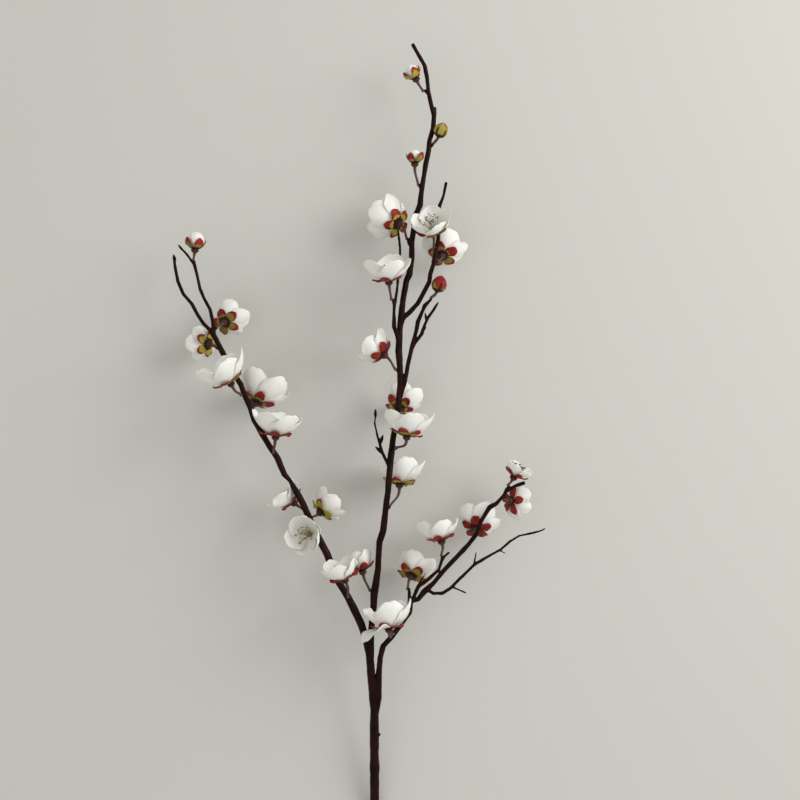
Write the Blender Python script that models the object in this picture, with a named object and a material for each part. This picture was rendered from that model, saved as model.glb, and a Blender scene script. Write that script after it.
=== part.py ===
"""A cut cherry blossom sprig lying on its side: one woody branch, and on it 29 blossoms and buds.

Each blossom is a calyx with its pedicel, a corolla of five petals and, where they show, the stamens.
Millimetres are used in the tables, with the cut end near x = y = 0, +Y towards the tip and +Z up from
the surface it lies on. The finished sprig is moved so that the origin is at the middle of its underside.
"""

import math

import bmesh
import bpy
from mathutils import Matrix, Vector

MM = 0.001
GAP = 0.35                 # between neighbouring pieces
RISE = 12                  # how far the stem climbs, past what the tables say, to clear the blossoms below
RISE_FROM, RISE_TO = 20, 150
PETALS = 5
LOBE = 2 * math.pi / PETALS

CUT_ANGLE = math.radians(32)
CUT_HEIGHT = 3.2           # where the cut crosses x = y = 0
STEM_SIDES = 2             # bevel resolution: 8 sides
TWIG_SIDES = 1             # 6 sides
SPUR_RADIUS = 1.05
SPUR_LENGTH = 2.2          # from the branch's axis, past its bark

PEDICEL_RADIUS = 0.75
CUP_HEIGHT = 2.8           # the green cup below the petals
CUP_RADIUS = 2.4
SEPAL_THICKNESS = 0.45
SEPAL_REACH = 8.5          # along the petal, from the axis
SEPAL_SHARE = 0.42         # and at most this share of the petal
PETAL_THICKNESS = 0.7
PETAL_NOTCH = 0.6          # reach of the outline between two petals
FILAMENTS = 9
FILAMENT_LEAN = math.radians(24)
FILAMENT_SHARE = 0.5       # its length as a share of a petal's
STAMEN_DISC = 0.7

# The angle from the blossom's axis at which a petal leaves the cup, and at which it ends.
STAGES = {
    "spread": (85, 14),
    "cup": (84, 2),
    "half": (80, -22),
    "bud": (90, -90),
}

# Each limb: its centre line from the lower end, then its radius at the lower end, the middle and the tip.
LIMBS = {
    "stem": dict(
        points=[(0, -5, 3.2), (0, 24, 3.8), (0, 50, 5), (0, 62, 6), (0, 65, 6.2), (0, 78, 7.5),
                (0, 81, 7.8), (0, 89, 8.5), (0, 107, 11), (-2, 130.5, 14), (-3, 145, 16.5),
                (-5, 154, 18)],
        radii=(3.1, 2.9, 2.6), knots={4: 1.12, 6: 1.1, 7: 1.08},
    ),
    "left": dict(
        points=[(-3, 145, 16.5), (-5, 154, 18), (-8.5, 164.5, 19.5), (-12.5, 173.5, 20.5),
                (-17, 182.5, 21.5), (-23, 192, 22.5), (-30.5, 210.5, 23.5), (-38.5, 225.5, 24),
                (-46, 243, 24), (-50.5, 251, 24), (-54, 257.5, 24), (-58, 262, 24), (-62.5, 272.5, 24),
                (-67.5, 280, 24), (-73, 289, 23.5), (-77.5, 297, 23), (-80.5, 306, 22),
                (-84.5, 314, 20.5), (-86.5, 320, 19.5), (-92.5, 329, 18.5), (-99, 342, 18.5),
                (-102.5, 349, 19), (-106, 355, 19.5)],
        radii=(2.5, 2.05, 1.6), knots={3: 1.08, 6: 1.1, 10: 0.62, 11: 0.95, 15: 1.12, 20: 1.12},
    ),
    "left_end": dict(
        points=[(-103.5, 351, 19.2), (-106, 355, 19.5), (-111, 360, 19.5), (-115, 366, 19),
                (-118.5, 372.5, 18), (-124.5, 379.5, 17), (-128, 387.5, 16), (-129.5, 395, 15.5),
                (-130.5, 401, 15)],
        radii=(1.4, 1.25, 1.05), knots={},
    ),
    "left_fork": dict(
        points=[(-104, 352, 19.3), (-105, 362, 20.5), (-106.5, 369, 21.5), (-110.5, 376.5, 22),
                (-113, 382.5, 22.5), (-114.5, 390, 22.5), (-116.5, 398, 22.5)],
        radii=(1.35, 1.15, 1.05), knots={6: 1.2},
    ),
    "left_stub": dict(
        points=[(-116, 397, 22.5), (-120.5, 403.5, 22), (-124.5, 408, 21)],
        radii=(0.9, 0.8, 0.8), knots={},
    ),
    "leader": dict(
        points=[(-2, 142, 16), (-2, 158.5, 18), (-0.5, 173.5, 18), (0, 183.5, 18.5), (2.5, 200, 20),
                (3.5, 218, 22), (6, 225.5, 23), (7.5, 239, 26), (9, 250.5, 28), (10, 262, 28),
                (11, 273.5, 25), (12.5, 285.5, 22), (15.5, 303.5, 20.5), (17, 320, 20.5), (17, 330, 21),
                (16, 342, 21), (16.5, 353, 21), (17.5, 364.5, 20.5), (19, 376.5, 19.5), (21, 388, 18.5),
                (23, 392, 18.5), (24.5, 402.5, 18.5), (24.5, 413, 19), (25.5, 419, 19.5), (27, 430.5, 20),
                (30, 437, 20), (30.5, 443.5, 20), (31.5, 450, 20), (33.5, 463, 19.5), (35.5, 472.5, 19),
                (36, 479, 18.5), (38.5, 487, 18), (39, 495.5, 17.5), (37.5, 501, 17), (35.5, 511, 16),
                (34.5, 520.5, 15.5), (33, 528.5, 15), (29, 535.5, 14), (25, 543, 13)],
        radii=(2.1, 1.95, 1.25),
        knots={3: 1.2, 6: 1.12, 10: 1.08, 15: 1.2, 20: 1.15, 25: 1.15, 29: 1.1, 31: 1.15},
    ),
    "right": dict(
        points=[(1, 104, 10.5), (3, 115, 12), (3, 130.5, 14), (4, 142.5, 16), (6, 150, 17),
                (11.5, 156, 18), (17.5, 164.5, 19), (23, 172, 19.5), (24, 179.5, 20), (28.5, 180.5, 20),
                (33, 186, 20.5), (38.5, 191, 20.5), (44.5, 198.5, 21), (53.5, 208, 21), (61, 216, 21),
                (66.5, 223, 21), (69.5, 231.5, 21), (75, 240.5, 21.5), (79.5, 243, 21.5),
                (84.5, 248.5, 21.5), (86.5, 253, 21.5)],
        radii=(2.0, 1.6, 1.2), knots={8: 1.15, 10: 1.25, 13: 1.12, 17: 1.3},
    ),
    "right_stub": dict(
        points=[(85.5, 250.5, 21.5), (92, 254.5, 21.5), (98, 256.5, 21)],
        radii=(1.2, 1.1, 1.0), knots={2: 1.25},
    ),
    "low_twig": dict(
        points=[(33.5, 187.5, 20.5), (38.5, 184.5, 20), (44.5, 184.5, 19.5), (49.5, 187.5, 19),
                (56, 194, 18), (65.5, 203, 17), (74, 208, 16), (82.5, 212.5, 15), (89, 218, 14),
                (95, 221.5, 13), (103, 223, 12), (109, 224.5, 11.5), (112, 226, 11)],
        radii=(1.3, 0.95, 0.6), knots={5: 1.1, 7: 1.1},
    ),
    "low_side_1": dict(points=[(51, 188.5, 19), (60, 184.5, 18)], radii=(0.75, 0.65, 0.55), knots={}),
    "low_side_2": dict(points=[(65, 202.5, 17), (66.5, 211, 18)], radii=(0.75, 0.65, 0.5), knots={}),
    "low_side_3": dict(points=[(81.5, 212, 15), (86, 210, 14.5)], radii=(0.6, 0.55, 0.4), knots={}),
    "stalk": dict(points=[(23.5, 174, 19.7), (23, 180, 19.2), (23, 185, 18)],
                  radii=(1.6, 1.4, 1.2), knots={}),
    "side_twig": dict(
        points=[(25, 180.5, 20), (29, 189.5, 21.5), (33, 192, 22), (37, 195.5, 22), (42, 200, 22),
                (44, 206, 22)],
        radii=(1.4, 1.1, 1.0), knots={3: 1.2},
    ),
    "side_stub": dict(points=[(43.5, 205, 22), (46, 209, 22.5), (49, 211.5, 23)],
                      radii=(0.9, 0.8, 0.8), knots={}),
    "thorn": dict(points=[(25.5, 181.5, 20), (27, 186, 21.5), (30.5, 193, 23.5), (34, 199, 25)],
                  radii=(1.2, 0.9, 0.3), knots={}),
    "upper_twig": dict(
        points=[(17, 358, 21), (19, 363.5, 20.8), (23.5, 367.5, 20.5), (28.5, 373, 20), (32, 379.5, 20),
                (36, 387, 20), (36.5, 392, 20), (38.5, 398, 20), (39.5, 403, 20), (41.5, 413, 19.5),
                (42, 419, 19), (42, 427, 18.5), (42, 435, 18), (45, 442.5, 18), (47, 452, 17.5)],
        radii=(1.7, 1.45, 0.95), knots={8: 1.15, 12: 1.3},
    ),
    "bud_twig": dict(
        points=[(16.5, 311, 20.5), (20, 321.5, 21.5), (22, 333, 22), (25, 346.5, 22.5),
                (27.5, 355.5, 22.5), (28.5, 361, 22.5), (31.5, 368, 22.5), (33, 371.5, 22.5),
                (35.5, 374, 22.5)],
        radii=(1.6, 1.35, 1.1), knots={5: 1.25, 7: 1.3},
    ),
    "leaf_twig": dict(
        points=[(24.5, 343, 22.5), (26.5, 347, 23), (31, 353, 24), (32.5, 358, 24.5), (35, 363.5, 25),
                (39, 369, 25.5)],
        radii=(1.1, 1.0, 0.9), knots={2: 1.3},
    ),
    "front_twig": dict(
        points=[(16.5, 345, 21.5), (15, 352, 25), (13, 357.5, 28), (13, 365, 31), (13.2, 372.5, 33)],
        radii=(1.5, 1.25, 1.1), knots={2: 1.25},
    ),
    "bare_twig": dict(
        points=[(13.2, 370, 32.2), (15, 382, 21.5), (16, 394.5, 20), (17, 406.5, 22), (16.5, 413, 23),
                (15.5, 420.5, 24)],
        radii=(1.0, 0.85, 0.75), knots={},
    ),
    "small_twig": dict(
        points=[(9.7, 267, 26), (5.5, 276, 26.5), (3.5, 282.5, 26.5), (2, 288, 26), (0.5, 295, 25.5),
                (1, 300, 25)],
        radii=(1.1, 0.8, 0.65), knots={},
    ),
    "tip_stub": dict(points=[(38.8, 491, 17.5), (39.8, 496, 17.2), (40, 501, 17)],
                     radii=(0.9, 0.8, 0.7), knots={}),
}

# Leaf buds: foot, tip and the largest radius.
LEAF_BUDS = [
    ((-130, 400, 15), (-131, 405.5, 15), 1.6),
    ((-124, 407, 21), (-127.5, 411.5, 20.5), 1.1),
    ((1, 298.5, 25.2), (1, 305, 25), 1.45),
    ((4, 281.5, 26.5), (6, 288, 27), 1.3),
    ((5.5, 275.5, 26.5), (0.5, 280.5, 27), 1.3),
    ((38, 367.5, 25.4), (42, 374, 26), 1.2),
    ((31.5, 355, 24), (34, 357.5, 24.5), 1.1),
    ((34, 361.5, 24.8), (33, 367, 26), 0.95),
    ((2, 88.5, 8.5), (4.2, 90.5, 9), 1.2),
]

# Each blossom: where its spur leaves the limb, the foot of its cup, the way it faces (heading in plan from
# +X, tilt up from the surface), its stage, the petals' length (a bud's radius) and the turn of its petals.
BLOSSOMS = {
    "leader_1": dict(root=(35, 510, 16.1), base=(28.5, 517, 16.5), heading=118, tilt=8,
                     stage="bud", size=4.6, spin=10),
    "leader_2": dict(root=(36, 474, 18.8), base=(41.5, 480.5, 21), heading=66, tilt=8,
                     stage="closed", size=10.5, spin=20),
    "leader_3": dict(root=(30.8, 446, 20), base=(26.5, 461, 20.5), heading=90, tilt=0,
                     stage="bud", size=4.2, spin=40),
    "leader_4": dict(root=(22.9, 411, 18.4), base=(18, 424, 17.5), heading=150, tilt=-38,
                     stage="cup", size=26, spin=36),
    "leader_5": dict(root=(13.2, 371.5, 33), base=(10, 383.5, 36), heading=96, tilt=12,
                     stage="cup", size=26, spin=56),
    "leader_6": dict(root=(16.8, 327, 21), base=(8.5, 338, 20.3), heading=140, tilt=-20,
                     stage="cup", size=22, spin=30),
    "leader_7": dict(root=(15, 300, 20.8), base=(15.5, 303, 10), heading=70, tilt=-40,
                     stage="cup", size=22, spin=18),
    "leader_8": dict(root=(12, 279, 23.5), base=(21, 284, 38), heading=84, tilt=-6,
                     stage="cup", size=27, spin=50),
    "leader_9": dict(root=(7.5, 238, 25), base=(16.5, 252, 10.5), heading=88, tilt=-14,
                     stage="cup", size=27, spin=54),
    "leader_10": dict(root=(0, 183, 18.5), base=(-7, 196, 17.5), heading=104, tilt=-15,
                      stage="half", size=19, spin=18),
    "twig_1": dict(root=(40, 406, 19.9), base=(38.5, 416, 27), heading=105, tilt=38,
                   stage="cup", size=22, spin=54),
    "twig_2": dict(root=(38.7, 399, 20), base=(44, 403, 15.5), heading=80, tilt=-52,
                   stage="spread", size=23, spin=54),
    "twig_3": dict(root=(35, 373.5, 22.5), base=(40.5, 380, 22.5), heading=72, tilt=5,
                   stage="closed", size=11.5, spin=0),
    "left_1": dict(root=(-116.5, 397.5, 22.5), base=(-116.5, 405, 22.5), heading=84, tilt=0,
                   stage="bud", size=5.4, spin=30),
    "left_2": dict(root=(-104.5, 355.5, 19.8), base=(-99, 360, 14), heading=48, tilt=-58,
                   stage="spread", size=19.5, spin=9),
    "left_3": dict(root=(-99.5, 343, 18.6), base=(-106.5, 346.5, 14), heading=170, tilt=-45,
                   stage="spread", size=18, spin=24),
    "left_4": dict(root=(-84.5, 314, 20.5), base=(-90.5, 318.5, 36.5), heading=118, tilt=8,
                   stage="cup", size=29, spin=54),
    "left_5": dict(root=(-76.2, 297.5, 21.8), base=(-78.5, 306, 14), heading=66, tilt=-26,
                   stage="cup", size=28, spin=9),
    "left_6": dict(root=(-64.5, 275.5, 24), base=(-63, 284, 39.5), heading=84, tilt=0,
                   stage="cup", size=27, spin=71),
    "left_7": dict(root=(-45, 240.5, 24), base=(-50.5, 241.5, 13), heading=140, tilt=5,
                   stage="cup", size=21, spin=19),
    "left_8": dict(root=(-42, 233.5, 24), base=(-37, 235.5, 17.3), heading=39, tilt=-26,
                   stage="cup", size=19.6, spin=33),
    "left_9": dict(root=(-38, 224.5, 24), base=(-39.5, 224, 30.5), heading=180, tilt=65,
                   stage="cup", size=21, spin=20),
    "left_10": dict(root=(-16, 180.5, 21.3), base=(-17.5, 192.5, 36.5), heading=112, tilt=12,
                    stage="cup", size=21, spin=30),
    "right_1": dict(root=(86.5, 252, 21.5), base=(89.5, 258, 22.5), heading=62, tilt=5,
                    stage="cup", size=15, spin=20),
    "right_2": dict(root=(84.5, 248.5, 21.5), base=(87, 244.5, 15.5), heading=-12, tilt=-40,
                    stage="spread", size=17, spin=54),
    "right_3": dict(root=(66.5, 223, 21), base=(65.5, 224, 15.6), heading=70, tilt=-46,
                    stage="spread", size=22, spin=51),
    "right_4": dict(root=(44, 205.5, 22), base=(44.5, 216, 22), heading=103, tilt=-8,
                    stage="cup", size=23, spin=54),
    "right_5": dict(root=(23, 184, 18.2), base=(23, 193, 14), heading=62, tilt=-38,
                    stage="cup", size=22, spin=14),
    "right_6": dict(root=(14.5, 160.5, 18.5), base=(10, 160.5, 37), heading=96, tilt=-8,
                    stage="cup", size=29, spin=51),
}

WITH_STAMENS = ("twig_1", "left_9", "right_1")


def clear_scene():
    for old in list(bpy.data.objects):
        bpy.data.objects.remove(old, do_unlink=True)


def make_collection(name):
    collection = bpy.data.collections.new(name)
    bpy.context.scene.collection.children.link(collection)
    return collection


def make_material(name, colour, roughness):
    material = bpy.data.materials.new(name)
    material.use_nodes = True
    shader = material.node_tree.nodes["Principled BSDF"]
    shader.inputs["Base Color"].default_value = (*colour, 1)
    shader.inputs["Roughness"].default_value = roughness
    material.diffuse_color = (*colour, 1)
    return material


def make_object(name, mesh, collection, material):
    mesh.materials.clear()
    mesh.materials.append(material)
    piece = bpy.data.objects.new(name, mesh)
    collection.objects.link(piece)
    return piece


def mesh_of(name, builder):
    mesh = bpy.data.meshes.new(name)
    builder.to_mesh(mesh)
    builder.free()
    return mesh


# ---- the woody branch ----

def radius_along(radii, share):
    low, middle, tip = radii
    if share < 0.5:
        return low + (middle - low) * share * 2
    return middle + (tip - middle) * (share * 2 - 1)


def tube_mesh(points, radii, knots, bevel_resolution):
    """A round limb along its centre line, swollen or pinched at its knots, with its caps welded."""
    curve = bpy.data.curves.new("limb", "CURVE")
    curve.dimensions = "3D"
    curve.bevel_depth = MM
    curve.bevel_resolution = bevel_resolution
    curve.use_fill_caps = True
    spline = curve.splines.new("POLY")
    spline.points.add(len(points) - 1)
    for index, (point, place) in enumerate(zip(spline.points, points)):
        point.co = (*(Vector(place) * MM), 1)
        point.radius = radius_along(radii, index / (len(points) - 1)) * knots.get(index, 1)
    limb = bpy.data.objects.new("limb", curve)
    bpy.context.scene.collection.objects.link(limb)
    evaluated = limb.evaluated_get(bpy.context.evaluated_depsgraph_get())
    mesh = bpy.data.meshes.new_from_object(evaluated)
    bpy.data.objects.remove(limb, do_unlink=True)
    builder = bmesh.new()
    builder.from_mesh(mesh)
    bmesh.ops.remove_doubles(builder, verts=builder.verts, dist=1e-6)
    bmesh.ops.recalc_face_normals(builder, faces=builder.faces)
    bpy.data.meshes.remove(mesh)
    return mesh_of("limb", builder)


def leaf_bud_mesh(foot, tip, radius):
    """A pointed scale bud: a sphere drawn out towards its tip."""
    foot, tip = Vector(foot), Vector(tip)
    length = (tip - foot).length
    builder = bmesh.new()
    bmesh.ops.create_uvsphere(builder, u_segments=8, v_segments=6, radius=1)
    turn = (tip - foot).to_track_quat("Z", "Y").to_matrix()
    for vertex in builder.verts:
        rise = (vertex.co.z + 1) / 2
        width = radius * (1 - 0.45 * rise)
        local = Vector((vertex.co.x * width, vertex.co.y * width, rise * length))
        vertex.co = (foot + turn @ local) * MM
    return mesh_of("leaf_bud", builder)


def stalk_point(blossom, share):
    """The pedicel's curve: it leaves the limb towards the cup and arrives along the blossom's axis."""
    root, base = Vector(blossom["root"]), Vector(blossom["base"])
    axis = axis_of(blossom)
    reach = (base - root).length
    first = root + (base - root) * 0.35
    second = base - axis * reach * 0.4
    a, b, c, d = (1 - share) ** 3, 3 * share * (1 - share) ** 2, 3 * share ** 2 * (1 - share), share ** 3
    return root * a + first * b + second * c + base * d


def stalk_tangent(blossom, share):
    step = 0.01
    return (stalk_point(blossom, share + step) - stalk_point(blossom, share - step)).normalized()


def spur_share(blossom):
    """Where along the stalk the wood stops and the pedicel starts."""
    reach = (Vector(blossom["base"]) - Vector(blossom["root"])).length
    return min(0.6, (SPUR_LENGTH + 0.15 * reach) / reach)


def spur_mesh(blossom):
    end = spur_share(blossom)
    shares = [0, end * 0.55, end]
    points = [stalk_point(blossom, share) for share in shares]
    return tube_mesh(points, (SPUR_RADIUS, SPUR_RADIUS, SPUR_RADIUS * 0.95), {}, TWIG_SIDES)


def cutter_mesh():
    """The slanting cut across the lower end of the stem."""
    size = 24
    builder = bmesh.new()
    bmesh.ops.create_cube(builder, size=size)
    slant = Matrix.Translation((0, 0, CUT_HEIGHT)) @ Matrix.Rotation(CUT_ANGLE, 4, "X")
    below = Matrix.Translation((0, -size / 2, 0))
    bmesh.ops.transform(builder, matrix=Matrix.Scale(MM, 4) @ slant @ below, verts=builder.verts)
    return mesh_of("cut", builder)


def build_branch(collection, material):
    """All limbs, leaf buds and spurs joined into the one piece of wood, then cut at the lower end."""
    wood_parts = []
    for name, limb in LIMBS.items():
        sides = STEM_SIDES if name in ("stem", "left", "leader", "right") else TWIG_SIDES
        wood_parts.append(tube_mesh(limb["points"], limb["radii"], limb["knots"], sides))
    for foot, tip, radius in LEAF_BUDS:
        wood_parts.append(leaf_bud_mesh(foot, tip, radius))
    for blossom in BLOSSOMS.values():
        wood_parts.append(spur_mesh(blossom))
    joined = make_collection("branch_limbs")
    branch = make_object("branch", wood_parts[0], collection, material)
    for mesh in wood_parts[1:]:
        part = bpy.data.objects.new("limb_part", mesh)
        joined.objects.link(part)
    union = branch.modifiers.new("joined limbs", "BOOLEAN")
    union.operation = "UNION"
    union.operand_type = "COLLECTION"
    union.collection = joined
    cut = bpy.data.objects.new("cut", cutter_mesh())
    bpy.context.scene.collection.objects.link(cut)
    difference = branch.modifiers.new("cut end", "BOOLEAN")
    difference.operation = "DIFFERENCE"
    difference.object = cut
    evaluated = branch.evaluated_get(bpy.context.evaluated_depsgraph_get())
    mesh = bpy.data.meshes.new_from_object(evaluated)
    branch.modifiers.clear()
    branch.data = mesh
    for part in list(joined.objects):
        bpy.data.objects.remove(part, do_unlink=True)
    bpy.data.objects.remove(cut, do_unlink=True)
    bpy.data.collections.remove(joined)
    return branch


# ---- blossoms ----

def axis_of(blossom):
    heading, tilt = math.radians(blossom["heading"]), math.radians(blossom["tilt"])
    return Vector((math.cos(heading) * math.cos(tilt), math.sin(heading) * math.cos(tilt), math.sin(tilt)))


def turn_of(blossom):
    """The blossom's own axes: X to the left of its heading, Z along its axis, turned by its spin."""
    axis = axis_of(blossom)
    left = Vector((0, 0, 1)).cross(axis).normalized()
    front = axis.cross(left)
    turn = Matrix((left, front, axis)).transposed()
    return turn @ Matrix.Rotation(math.radians(blossom["spin"]), 3, "Z")


def petal_profile(blossom, arc, offset=0.0):
    """Distance from the axis and height above the cup's foot, this far along a petal's outer side.

    A positive offset is outwards, under the petal, and a negative one is inside the blossom."""
    start, end = (math.radians(angle) for angle in STAGES[blossom["stage"]])
    length = petal_length(blossom)
    rate = (end - start) / length
    angle = start + rate * arc
    distance = (math.cos(start) - math.cos(angle)) / rate
    height = CUP_HEIGHT + GAP + (math.sin(angle) - math.sin(start)) / rate
    return distance + offset * math.cos(angle), height - offset * math.sin(angle)


def petal_length(blossom):
    return blossom["size"] * math.pi if blossom["stage"] == "bud" else blossom["size"]


def petal_outline(angle):
    """The share of its length that the corolla reaches in this direction: full in a petal's middle."""
    away = abs((angle + LOBE / 2) % LOBE - LOBE / 2) / (LOBE / 2)
    return 1 - (1 - PETAL_NOTCH) * away ** 2.5


def sphere_rings(builder, segments, rings):
    """Gives each vertex of a new sphere with its direction and its ring, counted up from the lower pole."""
    made = bmesh.ops.create_uvsphere(builder, u_segments=segments, v_segments=rings, radius=1)
    for vertex in made["verts"]:
        height = max(-1.0, min(1.0, vertex.co.z))
        ring = round(math.acos(-height) / math.pi * rings)
        yield vertex, math.atan2(vertex.co.y, vertex.co.x), ring


def corolla_mesh(blossom):
    """Five petals as one lobed cup: the sphere's lower half is its outside and the upper half its inside."""
    arcs = (0, 0.36, 0.74, 1, 0.74, 0.36, 0)
    builder = bmesh.new()
    turn, base = turn_of(blossom), Vector(blossom["base"])
    for vertex, angle, ring in sphere_rings(builder, 4 * PETALS, 6):
        inside = ring > 3
        reach = 1 - (1 - petal_outline(angle)) * arcs[ring]
        offset = -PETAL_THICKNESS if inside else (-PETAL_THICKNESS / 2 if ring == 3 else 0)
        distance, height = petal_profile(blossom, arcs[ring] * reach * petal_length(blossom), offset)
        distance = 0 if ring in (0, 6) else distance
        local = Vector((distance * math.cos(angle), distance * math.sin(angle), height))
        vertex.co = (base + turn @ local) * MM
    return mesh_of("corolla", builder)


def bud_petals_mesh(blossom):
    """The folded petals of a bud, one ball in its cup."""
    builder = bmesh.new()
    radius = blossom["size"] - GAP
    made = bmesh.ops.create_uvsphere(builder, u_segments=2 * PETALS, v_segments=7, radius=radius)
    turn, base = turn_of(blossom), Vector(blossom["base"])
    for vertex in made["verts"]:
        local = vertex.co + Vector((0, 0, blossom["size"] + CUP_HEIGHT + GAP))
        vertex.co = (base + turn @ local) * MM
    return mesh_of("bud_petals", builder)


def stalk_ring(blossom, share, radius, angle):
    """A point of the pedicel's skin, which turns with the stalk's curve."""
    tangent = stalk_tangent(blossom, share)
    bend = axis_of(blossom).rotation_difference(tangent).to_matrix()
    across = turn_of(blossom) @ Vector((math.cos(angle), math.sin(angle), 0)) * radius
    return stalk_point(blossom, share) + bend @ across


def pedicel_start(blossom):
    reach = (Vector(blossom["base"]) - Vector(blossom["root"])).length
    return spur_share(blossom) + GAP / reach


def calyx_mesh(blossom):
    """Pedicel, cup and five sepals. The sepals lie under the petals, between them."""
    sepal_middle = LOBE / 2
    start = pedicel_start(blossom)
    shoulder = CUP_RADIUS + 0.3
    tip = min(SEPAL_REACH, SEPAL_SHARE * petal_length(blossom))
    under, top = GAP + SEPAL_THICKNESS, GAP
    turn, base = turn_of(blossom), Vector(blossom["base"])
    builder = bmesh.new()
    for vertex, angle, ring in sphere_rings(builder, 2 * PETALS, 9):
        in_sepal = abs((angle - sepal_middle + LOBE / 2) % LOBE - LOBE / 2) < LOBE / 4
        reach = tip if in_sepal else shoulder + 0.5
        if ring <= 3:
            share = (start, start, (start + 1) / 2, 1)[ring]
            radius = 0 if ring == 0 else PEDICEL_RADIUS * (1, 1, 0.95, 1.15)[ring]
            vertex.co = stalk_ring(blossom, share, radius, angle) * MM
            continue
        if ring == 4:
            distance, height = CUP_RADIUS, CUP_HEIGHT - 0.9
        elif ring in (5, 7):
            middle = shoulder + (reach - shoulder) * 0.55
            distance, height = petal_profile(blossom, middle, under if ring == 5 else top)
        elif ring == 6:
            distance, height = petal_profile(blossom, reach, (under + top) / 2)
        else:
            distance, height = (CUP_RADIUS * 0.7, CUP_HEIGHT) if ring == 8 else (0, CUP_HEIGHT)
        local = Vector((distance * math.cos(angle), distance * math.sin(angle), height))
        vertex.co = (base + turn @ local) * MM
    return mesh_of("calyx", builder)


def closed_calyx_mesh(blossom):
    """A bud that is still shut: pedicel and cup, with the sepals closed over the top."""
    length = blossom["size"]
    start = pedicel_start(blossom)
    shape = {4: (0.30, 0.12), 5: (0.42, 0.33), 6: (0.42, 0.58), 7: (0.30, 0.82), 8: (0.12, 0.96), 9: (0, 1)}
    turn, base = turn_of(blossom), Vector(blossom["base"])
    builder = bmesh.new()
    for vertex, angle, ring in sphere_rings(builder, 2 * PETALS, 9):
        if ring <= 3:
            share = (start, start, (start + 1) / 2, 1)[ring]
            radius = 0 if ring == 0 else PEDICEL_RADIUS * 1.1
            vertex.co = stalk_ring(blossom, share, radius, angle) * MM
            continue
        width, rise = shape[ring]
        distance = width * length * (1 + 0.06 * math.cos(PETALS * angle))
        local = Vector((distance * math.cos(angle), distance * math.sin(angle), rise * length))
        vertex.co = (base + turn @ local) * MM
    return mesh_of("calyx", builder)


def stamens_mesh(blossom):
    """A ring of filaments on the blossom's floor, joined by a low disc."""
    length = FILAMENT_SHARE * petal_length(blossom)
    floor = CUP_HEIGHT + PETAL_THICKNESS + 3 * GAP
    builder = bmesh.new()
    bmesh.ops.create_cone(builder, cap_ends=True, segments=FILAMENTS, radius1=1.5, radius2=1.2,
                          depth=STAMEN_DISC, matrix=Matrix.Translation((0, 0, STAMEN_DISC / 2)))
    for face in list(builder.faces):
        outward = Vector((*face.calc_center_median().xy, 0))
        if outward.length < 0.1:
            continue
        grown = bmesh.ops.extrude_discrete_faces(builder, faces=[face])["faces"][0]
        up = Vector((0, 0, math.cos(FILAMENT_LEAN)))
        way = (outward.normalized() * math.sin(FILAMENT_LEAN) + up) * length
        middle = grown.calc_center_median()
        for vertex in grown.verts:
            vertex.co = middle + (vertex.co - middle) * 0.35 + way
    turn, base = turn_of(blossom), Vector(blossom["base"])
    for vertex in builder.verts:
        vertex.co = (base + turn @ (vertex.co + Vector((0, 0, floor)))) * MM
    return mesh_of("stamens", builder)


def climb(pieces):
    """Lifts everything past the lower stem, in one smooth bend, so that the blossoms below clear the surface."""
    for piece in pieces:
        for vertex in piece.data.vertices:
            share = (vertex.co.y / MM - RISE_FROM) / (RISE_TO - RISE_FROM)
            share = min(max(share, 0), 1)
            vertex.co.z += RISE * MM * share * share * (3 - 2 * share)


def stand_on_origin(pieces):
    """Moves the sprig so that the middle of its underside is the origin."""
    corners = [vertex.co for piece in pieces for vertex in piece.data.vertices]
    low = Vector(min(corner[axis] for corner in corners) for axis in range(3))
    high = Vector(max(corner[axis] for corner in corners) for axis in range(3))
    holder = bpy.data.objects.new("sprig", None)
    bpy.context.scene.collection.objects.link(holder)
    holder.location = (-(low.x + high.x) / 2, -(low.y + high.y) / 2, -low.z)
    for piece in pieces:
        piece.parent = holder
    bpy.context.view_layer.update()


def main():
    clear_scene()
    sprig = make_collection("cherry_blossom_sprig")
    wood = make_material("bark", (0.035, 0.018, 0.018), 0.45)
    petal = make_material("petal", (0.86, 0.84, 0.78), 0.7)
    sepal = make_material("sepal", (0.36, 0.05, 0.035), 0.6)
    anther = make_material("stamen", (0.55, 0.45, 0.25), 0.6)
    pieces = [build_branch(sprig, wood)]
    for name, blossom in BLOSSOMS.items():
        if blossom["stage"] == "closed":
            pieces.append(make_object("calyx_" + name, closed_calyx_mesh(blossom), sprig, sepal))
            continue
        pieces.append(make_object("calyx_" + name, calyx_mesh(blossom), sprig, sepal))
        petals = bud_petals_mesh(blossom) if blossom["stage"] == "bud" else corolla_mesh(blossom)
        pieces.append(make_object("corolla_" + name, petals, sprig, petal))
        if name in WITH_STAMENS:
            pieces.append(make_object("stamens_" + name, stamens_mesh(blossom), sprig, anther))
    climb(pieces)
    stand_on_origin(pieces)


main()
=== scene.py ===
import math
import random

import bmesh
import bpy
import numpy as np
from mathutils import Matrix, Vector, noise
from mathutils.bvhtree import BVHTree


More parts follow.
